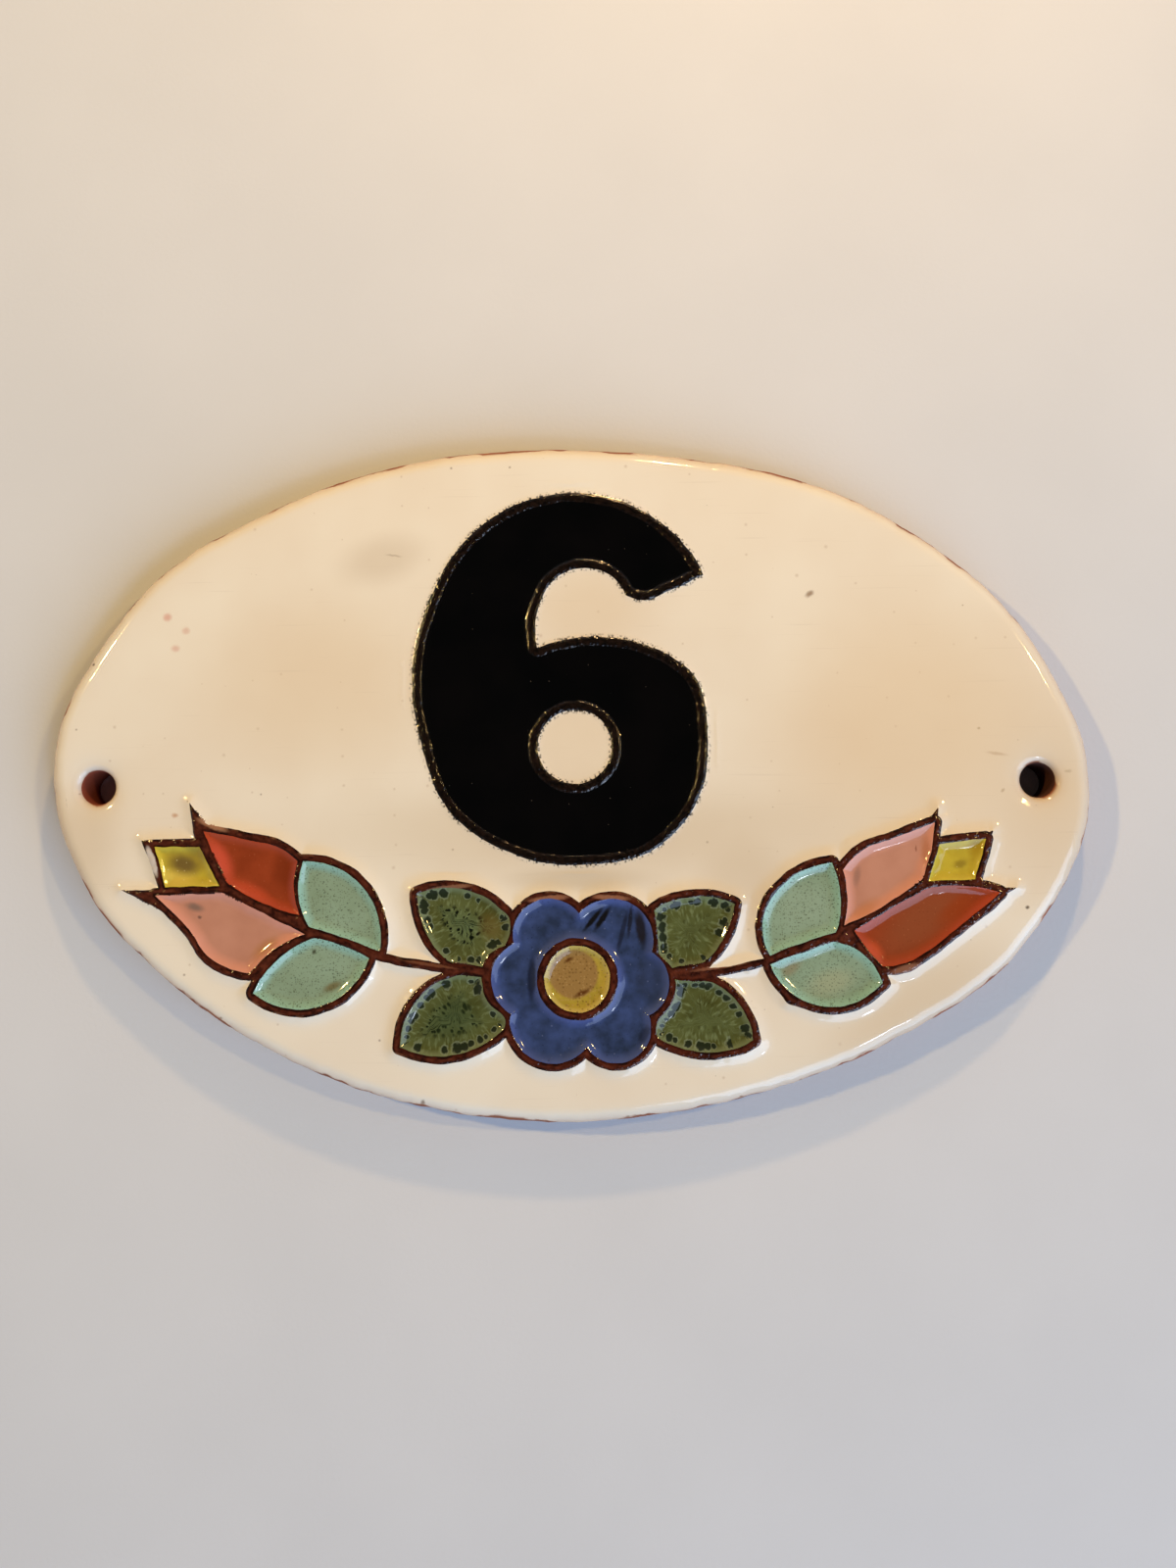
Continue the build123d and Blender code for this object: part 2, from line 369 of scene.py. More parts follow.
def face_points():
    """Grid points between the outlines: the nearer to a line or a hole, the closer they stand."""
    low, high = rim_loop.min(axis=0), rim_loop.max(axis=0)
    kept = []
    bands = (
        (fine_spacing, 0, fine_reach),
        (medium_spacing, fine_reach, medium_reach),
        (open_spacing, medium_reach, inf),
    )
    for spacing, nearest, farthest in bands:
        grid = honeycomb(spacing, low, high)
        grid = grid[in_blocks(inside, grid, rim_loop) & (from_holes(grid) > mouth_radius)]
        gap = np.minimum(distances(edge_tree, grid), from_holes(grid) - mouth_radius)
        grid = grid[(gap >= nearest) & (gap < farthest)]
        kept.append(grid[distances(outline_tree, grid) > outline_clearance * spacing])
    return np.concatenate(kept)


def triangulated(loops, points):
    """Triangles between outlines, the first being the outer one and the next the holes.

    Gives the points, the triangles, their middles and the numbers of each outline's points.
    """
    everything = np.concatenate([*loops, points])
    runs = []
    count = 0
    for loop in loops:
        runs.append(list(range(count, count + len(loop))))
        count += len(loop)
    edges = [edge for run in runs for edge in zip(run, run[1:] + run[:1])]
    found = geometry.delaunay_2d_cdt([Vector(point) for point in everything], edges, [], 0, weld_gap)
    flat_points = np.array([tuple(point) for point in found[0]])
    faces = np.array(found[2])
    number = {}
    for new, olds in enumerate(found[3]):
        number.update({old: new for old in olds})
    rings = [[number[index] for index in run] for run in runs]
    middles = flat_points[faces].mean(axis=1)
    keep = in_blocks(inside, middles, loops[0])
    for loop in loops[1:1 + len(hole_centres)]:
        keep &= ~in_blocks(inside, middles, loop)
    return flat_points, faces[keep], middles[keep], rings


plan, face_triangles, middles, rings = triangulated(outlines, face_points())
region = islands_at(middles)
from_edge = distances(edge_tree, plan)
along_edge = nearest_numbers(edge_tree, plan) * dense_spacing
from_shore = distances(shore_tree, plan)
plan_region = np.full(len(plan), -1)
for triangle, number in zip(face_triangles, region):
    plan_region[triangle] = np.maximum(plan_region[triangle], number)
on_line = (plan_region < 0) & (from_edge > edge_width)

# Heights of the face
of_figure = in_figure(plan)
in_pool = np.isin(plan_region, list(glaze_of_island))
of_ground = (plan_region >= 0) & ~in_pool
slope_width = np.where(of_figure, figure_reach, np.where(in_pool, pool_reach, ground_reach))
climb = np.where(of_figure, figure_climb, np.where(of_ground, ground_climb, flower_climb))
climb = climb * (1 + uneven(plan, *climb_drift))
crest = np.where(of_figure, figure_height, line_height) - crest_slack
crest = crest + sum(uneven(plan, *grains) for grains in crest_grains)
bead = np.sqrt(1 - (1 - np.clip(from_edge / bead_shoulder, 0, 1)) ** 2)
slope = np.clip(1 - from_edge / slope_width, 0, 1) ** 2
rise = np.where(on_line, climb + (crest - climb) * bead, climb * slope)
rise = rise + uneven(plan, *ground_swell)
from_mouth = np.clip(from_holes(plan) - mouth_radius, 0, None)
rise = np.minimum(rise - hole_dip * np.exp(-from_mouth / hole_dip_reach), line_height)

# Sideways wobble of the drawing, with its lumps and the swelling of the stems
wobble = np.zeros_like(plan)
for amount, size, seed in line_wobbles:
    for axis in (0, 1):
        wobble[:, axis] += uneven(plan, amount, size, seed + axis * seed_step)
for x, y, reach, push_x, push_y in line_lumps:
    share = np.exp(-((plan - (x, y)) ** 2).sum(axis=1) / reach ** 2)
    wobble += share[:, None] * (push_x, push_y)
for run in stem_runs:
    offsets = []
    for begin, end in zip(np.array(run), np.array(run[1:])):
        share = np.clip((plan - begin) @ (end - begin) / ((end - begin) @ (end - begin)), 0, 1)
        offsets.append(plan - begin - share[:, None] * (end - begin))
    lengths = np.linalg.norm(offsets, axis=2)
    offset = np.take_along_axis(np.array(offsets), lengths.argmin(axis=0)[None, :, None], axis=0)[0]
    wobble += stem_spread * offset * np.exp(-(lengths.min(axis=0) / stem_reach) ** 2)[:, None]

vertices = [np.column_stack([plan + wobble, face_level + rise])]
faces = face_triangles.tolist()
line_names = np.where(in_figure(middles), "figure_line", "line").tolist()
face_glaze = []
for number, line in zip(region, line_names):
    face_glaze.append(glaze_of_island.get(number, "white") if number >= 0 else line)
vertex_total = len(plan)


def add_ring(points):
    """Add a ring of vertices and return their numbers."""
    global vertex_total
    vertices.append(points)
    numbers = list(range(vertex_total, vertex_total + len(points)))
    vertex_total += len(points)
    return numbers


def bridge(upper, lower, glaze):
    """Faces between two rings of as many vertices."""
    for index in range(len(upper)):
        beside = (index + 1) % len(upper)
        faces.append([upper[index], lower[index], lower[beside], upper[beside]])
        face_glaze.append(glaze)


# Rolled edge, side and back edge
rim_numbers = rings[0]
rim_points = vertices[0][rim_numbers]
ahead = np.roll(rim_points[:, :2], -1, axis=0) - np.roll(rim_points[:, :2], 1, axis=0)
outward = np.stack([ahead[:, 1], -ahead[:, 0]], -1) / np.linalg.norm(ahead, axis=1)[:, None]
side_top = face_level - roll_radius
profile = []
for step in range(1, roll_steps + 1):
    angle = radians(90 * step / roll_steps)
    profile.append((roll_radius * sin(angle), side_top + roll_radius * cos(angle)))
for step in range(1, side_steps + 1):
    profile.append((roll_radius, side_top + (back_inset - side_top) * step / side_steps))
profile.append((roll_radius - back_inset, 0.0))
above = rim_numbers
rim_bulge = sum(uneven(rim_points[:, :2], *bumps) for bumps in roll_wobbles)
for out, height in profile:
    share = height / face_level
    bulge = rim_bulge * 4 * share * (1 - share)  # most at half height
    ring = np.column_stack([
        rim_points[:, :2] + outward * (out + bulge)[:, None],
        height + (rim_points[:, 2] - face_level) * share,
    ])
    below = add_ring(ring)
    bridge(above, below, "white" if height > back_inset else "clay")
    above = below
back_rim = above

# Screw holes
back_holes = []
for centre, numbers in zip(hole_centres, rings[1:1 + len(hole_centres)]):
    top = vertices[0][numbers]
    spokes = (top[:, :2] - centre) / np.linalg.norm(top[:, :2] - centre, axis=1)[:, None]
    above = numbers
    for step in range(1, mouth_steps + 1):
        angle = radians(90 * step / mouth_steps)
        radius = hole_radius + mouth_round * (1 - sin(angle))
        ring = np.column_stack([centre + spokes * radius, top[:, 2] - mouth_round * (1 - cos(angle))])
        below = add_ring(ring)
        bridge(below, above, "white" if step < mouth_steps - 1 else "clay")
        above = below
    wall_top = vertices[-1][:, 2]
    for step in range(1, wall_steps + 1):
        share = step / wall_steps
        below = add_ring(np.column_stack([centre + spokes * hole_radius, wall_top * (1 - share)]))
        bridge(below, above, "clay")
        above = below
    back_holes.append(above)

# Flat back
flat_vertices = np.concatenate(vertices)
back_loops = [flat_vertices[back_rim][:, :2]] + [flat_vertices[numbers][:, :2] for numbers in back_holes]
back_grid = honeycomb(back_spacing, back_loops[0].min(axis=0), back_loops[0].max(axis=0))
back_grid = back_grid[inside(back_grid, back_loops[0]) & (from_holes(back_grid) > hole_radius)]
back_tree = tree_of(np.concatenate(back_loops))
back_grid = back_grid[distances(back_tree, back_grid) > back_spacing / 2]
back_plan, back_triangles, _, back_rings = triangulated(back_loops, back_grid)
number_of = dict(zip(sum(back_rings, []), back_rim + sum(back_holes, [])))
fresh = [index for index in range(len(back_plan)) if index not in number_of]
fresh_numbers = add_ring(np.column_stack([back_plan[fresh], np.zeros(len(fresh))]))
number_of.update(zip(fresh, fresh_numbers))
for a, b, c in back_triangles.tolist():
    faces.append([number_of[c], number_of[b], number_of[a]])
    face_glaze.append("clay")


# Finishes. Gloss is a roughness, and a size and a depth of bumps.
glaze_roughness = 0.07
pool_gloss = (glaze_roughness, 2.0, 0.012)
coloured_shine = 0.33  # the coloured glazes mirror a little less than the white
clay_colours = ("#96583A", "#80452B")
clay_patches = 6.0
worn_roughness = 0.8
far_off = 10.0  # distance from the lines that parts away from the face are given

# Marks have ragged edges: noise of this size pushes their outlines about by this much
ragged_size = 0.6
ragged_reach = 0.35
any_depth = 1e4  # half height of a mark, which goes right through the piece

# On the rolled edge the glaze thins between the first two heights,
# and wears to the clay below a height that wanders between the last two
thin_high = face_level - 0.2
thin_low = face_level - 1.3
worn_high = face_level - 0.6
worn_low = face_level - 1.9

# Bubbles of the leaves: one row, so far apart and so far in from the line
bubble_spacing = 1.75
bubble_row = 0.95

# Where a film of pale glaze ran over the line, partly a painted highlight on its upper flank: x, y, half
# length, half width, angle, colour, strength
line_films_and_sheen = [
    (-61.0, -7.5, 3.6, 0.85, -22, "#A27558", 0.9),
    (-3.2, -20.5, 4.4, 0.65, 6, "#9A6A50", 0.8),
    (7.4, -20.4, 4.0, 0.60, -4, "#9A6A50", 0.8),
    (57.0, -32.6, 3.4, 0.80, 16, "#8A5E48", 0.9),
    (-20.0, -18.5, 5.0, 0.55, 6, "#94684E", 0.7),
    (47.2, -27.0, 0.9, 0.8, 0, "#5E3028", 0.7),
    (25.5, -32.2, 6.0, 0.40, 8, "#8A5A42", 0.7),
    (-23.5, -31.5, 6.0, 0.36, -9, "#7E5038", 0.6),
]

# Marks on the white glaze, in the same way: smudges, scratches and specks, broad soft patches that dull it in
# places, and painted shade where noted
ground_marks_and_shade = [
    (-32.0, 38.6, 11.0, 6.0, 14, "#C8B8A0", 0.40),
    (-30.0, 39.3, 2.0, 0.26, -8, "#A08F7A", 0.50),
    (42.2, 31.7, 1.2, 0.7, 35, "#8A7058", 0.80),
    (-69.6, 28.8, 1.1, 1.0, 0, "#D8A592", 0.75),
    (-66.3, 26.4, 1.0, 0.9, 0, "#D6AE9A", 0.60),
    (-68.1, 23.3, 1.1, 0.9, 0, "#D8AE9C", 0.65),
    (73.6, 3.7, 2.6, 0.40, -8, "#A98F72", 0.60),
    (74.4, -2.6, 0.6, 0.35, 45, "#9A8468", 0.80),
    (70.6, 8.1, 0.4, 0.35, 0, "#8A7458", 0.80),
    (85.6, 0.6, 0.9, 0.40, 0, "#8A7A5C", 0.60),
    # Painted shade between the figure and the rosette
    (2.0, -17.2, 16.0, 3.0, 0, "#C4B498", 0.55),
    (60.0, 8.0, 36.0, 32.0, 0, "#DCC39C", 0.52),
    (56.0, -44.0, 34.0, 12.0, 30, "#D8C8AE", 0.50),
    (84.0, -6.0, 16.0, 26.0, 0, "#D8C6AA", 0.55),
    (-42.0, 16.0, 32.0, 22.0, 0, "#DCC6A2", 0.38),
    (1.5, 6.0, 18.0, 18.0, 0, "#DCC8A8", 0.45),
    # Painted shade: a dim band across the middle of the face
    (2.0, -9.0, 64.0, 12.0, 0, "#CDBB9D", 0.50),
    # Painted shade at the left end, in the shade of the rim
    (-84.0, -10.0, 10.0, 17.0, 0, "#CDBA9C", 0.50),
    (4.0, 29.0, 15.0, 11.0, 0, "#DAC6A6", 0.42),
    (30.0, -18.0, 11.0, 10.0, 0, "#CDBB9E", 0.45),
    (60.0, -38.0, 22.0, 10.0, 30, "#D2C2A8", 0.40),
    (-82.7, 20.7, 0.40, 0.36, 0, "#1E1612", 1.0),
    (-24.8, -54.9, 0.55, 0.9, -20, "#7A6A58", 0.9),
    (-59.5, -40.5, 0.5, 0.35, 0, "#7A6A58", 0.8),
    (10.0, -57.3, 0.5, 0.3, 0, "#5A4A3C", 0.8),
    (29.2, -54.1, 0.5, 0.3, 0, "#4A3C30", 0.9),
    (39.4, -51.4, 0.45, 0.3, 0, "#6A5A4A", 0.8),
    (77.9, -22.5, 0.5, 0.45, 0, "#5A5042", 0.9),
    (-67.7, -5.8, 0.8, 0.6, 0, "#C49A78", 0.8),
]


# Materials
def srgb(code):
    """Linear colour of an sRGB hex value."""
    parts = [int(code[at:at + 2], 16) / 255 for at in (1, 3, 5)]
    return (*[part / 12.92 if part <= 0.04045 else ((part + 0.055) / 1.055) ** 2.4 for part in parts], 1.0)


def add(tree, kind, inputs=(), **settings):
    """Add a shader node: settings are its own, inputs are values or links for its sockets.

    A MapRange takes values from 1 to 2 and gives 3 to 4. A Mix has its share at 0 and colours at 6 and 7.
    """
    made = tree.nodes.new("ShaderNode" + kind)
    for key, value in settings.items():
        setattr(made, key, value)
    for key, value in dict(inputs).items():
        if isinstance(value, bpy.types.NodeSocket):
            tree.links.new(value, made.inputs[key])
        else:
            made.inputs[key].default_value = value
    return made


def new_material(name):
    """A new material with its shader, coordinates in millimetres and distance from the nearest line."""
    material = bpy.data.materials.new(name)
    material.use_nodes = True
    tree = material.node_tree
    place = add(tree, "TexCoord").outputs["Object"]
    place = add(tree, "VectorMath", {0: place, "Scale": 1 / MM}, operation="SCALE").outputs[0]
    edge = add(tree, "Attribute", attribute_name="edge_mm").outputs["Fac"]
    return material, tree, tree.nodes["Principled BSDF"], place, edge


def mottled(tree, place, size, first, second, contrast=0.15):
    """A colour that drifts between two hex values in patches of a size in millimetres."""
    cloud = add(tree, "TexNoise", {"Vector": place, "Scale": 1 / size, "Detail": 3.0}).outputs["Fac"]
    share = add(tree, "MapRange", {"Value": cloud, 1: 0.5 - contrast, 2: 0.5 + contrast}).outputs[0]
    return add(tree, "Mix", {0: share, 6: srgb(first), 7: srgb(second)}, data_type="RGBA").outputs[2]


def rimmed(tree, edge, colour, rim, near, far, strength=1.0):
    """Another hex value between two distances from a line's edge: where a glaze thins on its way up a line,
    and painted shade along a line's own flanks.
    """
    band = add(tree, "MapRange", {"Value": edge, 1: near, 2: far, 3: strength, 4: 0.0}).outputs[0]
    return add(tree, "Mix", {0: band, 6: colour, 7: srgb(rim)}, data_type="RGBA").outputs[2]


def speckled(tree, place, colour, speck, spacing, size, share, strength=1.0):
    """Round specks of a hex value: a share of the cells of a spacing has one, of a radius up to a size."""
    cells = add(tree, "TexVoronoi", {"Vector": place, "Scale": 1 / spacing}, voronoi_dimensions="2D")
    chosen = add(tree, "SeparateColor", {0: cells.outputs["Color"]})
    present = add(tree, "Math", {0: chosen.outputs["Red"], 1: share}, operation="LESS_THAN").outputs[0]
    radius = {0: chosen.outputs["Green"], 1: size / spacing}
    radius = add(tree, "Math", radius, operation="MULTIPLY").outputs[0]
    within = {"Value": cells.outputs["Distance"], 1: radius, 2: 0.0, 4: strength}
    within = add(tree, "MapRange", within).outputs[0]
    mask = add(tree, "Math", {0: present, 1: within}, operation="MULTIPLY", use_clamp=True).outputs[0]
    return add(tree, "Mix", {0: mask, 6: colour, 7: srgb(speck)}, data_type="RGBA").outputs[2]


def marked(tree, place, colour, marks, core=0.2):
    """Smudges and strokes: each is x, y, half length, half width, angle, hex value and strength.

    They are full strength out to a core, a share of their size.
    """
    ragged = {"Vector": place, "Scale": 1 / ragged_size, "Detail": 3.0}
    ragged = add(tree, "TexNoise", ragged).outputs["Color"]
    ragged = add(tree, "VectorMath", {0: ragged, 1: (0.5, 0.5, 0.5)}, operation="SUBTRACT").outputs[0]
    pushed = {0: ragged, 1: (ragged_reach, ragged_reach, 0.0), 2: place}
    pushed = add(tree, "VectorMath", pushed, operation="MULTIPLY_ADD").outputs[0]
    for x, y, length, width, angle, tint, strength in marks:
        turn = (0, 0, radians(angle))
        half_sizes = (length, width, any_depth)
        local = {"Vector": pushed, "Location": (x, y, 0), "Rotation": turn, "Scale": half_sizes}
        local = add(tree, "Mapping", local, vector_type="TEXTURE").outputs[0]
        away = add(tree, "VectorMath", {0: local}, operation="LENGTH").outputs["Value"]
        mask = {"Value": away, 1: 1.0, 2: core, 4: strength}
        mask = add(tree, "MapRange", mask, interpolation_type="SMOOTHSTEP").outputs[0]
        colour = add(tree, "Mix", {0: mask, 6: colour, 7: srgb(tint)}, data_type="RGBA").outputs[2]
    return colour


def surfaced(tree, shader, place, colour, roughness, grain, depth, shine=0.5):
    """Give the shader its colour and gloss, and a bump with grains of a size and depth in millimetres."""
    tree.links.new(colour, shader.inputs["Base Color"])
    shader.inputs["Roughness"].default_value = roughness
    shader.inputs["Specular IOR Level"].default_value = shine
    cloud = add(tree, "TexNoise", {"Vector": place, "Scale": 1 / grain, "Detail": 2.0}).outputs["Fac"]
    bump = add(tree, "Bump", {"Height": cloud, "Distance": depth * MM, "Strength": 1.0})
    tree.links.new(bump.outputs[0], shader.inputs["Normal"])


def tin_white_glaze():
    """Opaque tin glaze, poured and fired: glossy, cloudy cream, pinholes, and clay showing where it thins."""
    material, tree, shader, place, _ = new_material("tin_white_glaze")
    colour = mottled(tree, place, 26, "#ECE5D4", "#E7DDCA")
    colour = speckled(tree, place, colour, "#7A6552", 11.0, 0.30, 0.30, 0.8)
    colour = speckled(tree, place, colour, "#B9A58D", 5.0, 0.45, 0.35, 0.5)
    # Smudges, scratches and specks, broad patches that dull the white, and painted shade across the middle,
    # above the rosette and at the left end
    colour = marked(tree, place, colour, ground_marks_and_shade)
    # Black grains strewn beside the figure
    grains = speckled(tree, place, colour, "#120C09", 0.42, 0.34, 0.75, 2.0)
    beside = add(tree, "Attribute", attribute_name="figure_mm").outputs["Fac"]
    beside = add(tree, "MapRange", {"Value": beside, 1: 0.65, 2: 0.1}).outputs[0]
    colour = add(tree, "Mix", {0: beside, 6: colour, 7: grains}, data_type="RGBA").outputs[2]
    # Fine scratches along the face
    streaks = {"Vector": place, "Rotation": (0, 0, radians(-6)), "Scale": (1 / 14, 1 / 0.35, 1)}
    streaks = add(tree, "Mapping", streaks).outputs[0]
    scratch = add(tree, "TexNoise", {"Vector": streaks, "Scale": 1.0, "Detail": 1.0}).outputs["Fac"]
    scratch = add(tree, "MapRange", {"Value": scratch, 1: 0.70, 2: 0.84, 4: 0.12}).outputs[0]
    colour = add(tree, "Mix", {0: scratch, 6: colour, 7: srgb("#A08C78")}, data_type="RGBA").outputs[2]
    # Thin and worn glaze on the rolled edge
    height = add(tree, "SeparateXYZ", {0: place}).outputs["Z"]
    ragged = add(tree, "TexNoise", {"Vector": place, "Scale": 1 / 7.0, "Detail": 5.0}).outputs["Fac"]
    ragged = add(tree, "MapRange", {"Value": ragged, 1: 0.40, 2: 0.60, 3: worn_low, 4: worn_high}).outputs[0]
    depth = add(tree, "Math", {0: ragged, 1: height}, operation="SUBTRACT").outputs[0]
    worn = add(tree, "MapRange", {"Value": depth, 1: 0.0, 2: 0.4}).outputs[0]
    clay = mottled(tree, place, clay_patches, *clay_colours)
    thin = add(tree, "MapRange", {"Value": height, 1: thin_high, 2: thin_low, 4: 0.6}).outputs[0]
    colour = add(tree, "Mix", {0: thin, 6: colour, 7: srgb("#C09A7C")}, data_type="RGBA").outputs[2]
    colour = add(tree, "Mix", {0: worn, 6: colour, 7: clay}, data_type="RGBA").outputs[2]
    surfaced(tree, shader, place, colour, glaze_roughness, 5.0, 0.015)
    gloss = add(tree, "MapRange", {"Value": worn, 3: glaze_roughness, 4: worn_roughness}).outputs[0]
    tree.links.new(gloss, shader.inputs["Roughness"])
    return material


def manganese_line():
    """Clay line stained with manganese: red-brown to black, with glassy grains that glint.

    The grains are drawn coarser than real ones, so that they show. The crest is lighter as a painted
    highlight and the flanks darker as painted shade, to round the bead.
    """
    material, tree, shader, place, edge = new_material("manganese_line")
    colour = mottled(tree, place, 2.4, "#240B05", "#4E2011", 0.10)
    # Painted highlight: a lighter crest, where light falls on the top of the bead
    crest = mottled(tree, place, 1.3, "#2A0E07", "#5C2C1D", 0.16)
    crest_highlight = add(tree, "MapRange", {"Value": edge, 1: 0.30, 2: 0.55}).outputs[0]
    colour = add(tree, "Mix", {0: crest_highlight, 6: colour, 7: crest}, data_type="RGBA").outputs[2]
    # Painted shade: darker flanks where the bead comes down to the glaze
    colour = rimmed(tree, edge, colour, "#180804", 0.05, 0.45, 0.55)
    # Films of white glaze on the flank towards the ground, partly a painted highlight on that flank, and a
    # chip
    shore = add(tree, "Attribute", attribute_name="shore_mm").outputs["Fac"]
    film_and_sheen = add(tree, "TexNoise", {"Vector": place, "Scale": 1 / 3.0, "Detail": 3.0}).outputs["Fac"]
    film_and_sheen = add(tree, "MapRange", {"Value": film_and_sheen, 1: 0.56, 2: 0.66, 4: 0.55}).outputs[0]
    flank = add(tree, "MapRange", {"Value": shore, 1: 0.45, 2: 0.15}).outputs[0]
    film_and_sheen = add(tree, "Math", {0: film_and_sheen, 1: flank}, operation="MULTIPLY").outputs[0]
    colour = add(tree, "Mix", {0: film_and_sheen, 6: colour, 7: srgb("#8A5E42")}, data_type="RGBA").outputs[2]
    # The listed films, partly a painted highlight on the lines' upper flanks
    colour = marked(tree, place, colour, line_films_and_sheen, 0.45)
    colour = marked(tree, place, colour, [(-71.3, -13.7, 3.2, 0.78, -71, "#CCC3B9", 1.0)], 0.6)
    surfaced(tree, shader, place, colour, 0.13, 0.80, 0.18)
    return material


def figure_line():
    """Black-brown oxide line round the figure: rough, with glassy grains, drawn coarser to show."""
    material, tree, shader, place, _ = new_material("oxide_figure_line")
    colour = mottled(tree, place, 0.6, "#050302", "#1C110B")
    surfaced(tree, shader, place, colour, 0.15, 0.75, 0.19)
    return material


def iron_red_glaze():
    """Iron-red glaze: brick brown where it lies deep and coral where it thins against the lines, with coral
    patches on the petals' left and lower sides and darker brown on their right.
    """
    material, tree, shader, place, edge = new_material("iron_red_glaze")
    colour = mottled(tree, place, 5.0, "#964021", "#87381B")
    colour = rimmed(tree, edge, colour, "#B2482A", 0.3, 1.6, 0.7)
    # Coral along the left and lower sides of the petals, darker brown on their right and over the right
    # petal's middle
    runs = [
        (60.0, -24.5, 14.0, 6.0, 38, "#8C4B2D", 0.85),
        (-59.6, -13.6, 5.2, 2.4, -65, "#C8523A", 0.8),
        (-54.2, -19.0, 5.4, 2.0, -27, "#C04E30", 0.7),
        (-48.9, -15.5, 2.8, 4.6, 0, "#6C2A10", 0.6),
        (51.8, -29.6, 3.0, 2.0, -50, "#C4512F", 0.7),
        (66.0, -22.5, 6.0, 2.2, 38, "#943C14", 0.6),
    ]
    colour = marked(tree, place, colour, runs)
    colour = speckled(tree, place, colour, "#D98A62", 0.9, 0.10, 0.4, 0.5)
    colour = speckled(tree, place, colour, "#5E2412", 0.7, 0.14, 0.4, 0.5)
    surfaced(tree, shader, place, colour, *pool_gloss, coloured_shine)
    return material


def pink_glaze():
    """Pink glaze, dulled and smoky in the deep part and salmon at the rim, with painted warm light on its
    right and lower slopes.
    """
    material, tree, shader, place, edge = new_material("pink_glaze")
    colour = mottled(tree, place, 6.0, "#C18B74", "#B8826B")
    colour = rimmed(tree, edge, colour, "#DE9A84", 0.2, 1.9, 0.75)
    smoke_and_tints = [
        (-64.0, -21.6, 2.2, 1.0, -15, "#75645A", 0.8),
        (-63.2, -23.3, 0.5, 0.45, 0, "#5A463E", 0.8),
        # Painted warm light: orange-tan on the lower and right slopes, which face the warm lamp
        (-51.8, -28.6, 3.8, 1.7, 38, "#B07A4E", 0.7),
        (50.5, -22.7, 4.0, 1.7, 33, "#B8784C", 0.5),
        (61.0, -12.8, 1.2, 3.6, 0, "#A8683F", 0.5),
        (49.3, -17.0, 0.9, 2.6, -10, "#8E6A5C", 0.6),
        (59.4, -12.4, 0.25, 0.8, 0, "#7A4A34", 0.7),
    ]
    colour = marked(tree, place, colour, smoke_and_tints)
    surfaced(tree, shader, place, colour, *pool_gloss, coloured_shine)
    return material


def yellow_glaze():
    """Lemon glaze with a smoky middle where bubbles broke."""
    material, tree, shader, place, edge = new_material("yellow_glaze")
    colour = mottled(tree, place, 3.0, "#C0AC38", "#AE9830")
    colour = rimmed(tree, edge, colour, "#CDBC42", 0.1, 1.0, 0.7)
    smoke_and_tints = [
        (-63.4, -12.2, 4.5, 1.8, -30, "#8C7C34", 0.7),
        (-67.0, -16.4, 4.4, 2.4, 0, "#D8BE54", 0.8),
        (-66.0, -14.2, 4.2, 2.6, -14, "#66522F", 0.9),
        (66.9, -15.1, 1.6, 1.0, 15, "#857026", 0.7),
        (69.5, -12.0, 2.0, 2.6, -20, "#A08420", 0.7),
    ]
    colour = marked(tree, place, colour, smoke_and_tints)
    colour = speckled(tree, place, colour, "#8C7A4C", 0.7, 0.12, 0.5, 0.5)
    colour = speckled(tree, place, colour, "#DDD494", 1.5, 0.18, 0.35, 0.7)
    surfaced(tree, shader, place, colour, *pool_gloss, coloured_shine)
    return material


def copper_mint_glaze():
    """Copper glaze: grey-green with dark specks, turquoise where it thins, partly as a painted reflection."""
    material, tree, shader, place, edge = new_material("copper_mint_glaze")
    colour = mottled(tree, place, 7.0, "#8CA48C", "#82987E")
    stains = [
        (-40.2, -35.2, 2.6, 1.0, 25, "#6E6238", 0.8),
        (-43.4, -29.3, 0.7, 0.5, 60, "#3A3A2A", 0.9),
        (40.0, -22.0, 7.0, 6.0, 0, "#94A891", 0.5),
        (44.5, -35.0, 6.0, 3.2, 15, "#A3A886", 0.6),
        (37.8, -32.6, 3.0, 1.4, 35, "#8A7A5C", 0.6),
    ]
    colour = marked(tree, place, colour, stains)
    # Turquoise where the glaze thins up the lines, partly a painted reflection of the cool window on those
    # slopes
    colour = rimmed(tree, edge, colour, "#98CDBE", 0.2, 1.6, 0.6)
    colour = speckled(tree, place, colour, "#3F4B38", 0.60, 0.22, 0.5, 1.0)
    colour = speckled(tree, place, colour, "#4E5238", 0.34, 0.17, 0.6, 0.9)
    surfaced(tree, shader, place, colour, *pool_gloss)
    return material


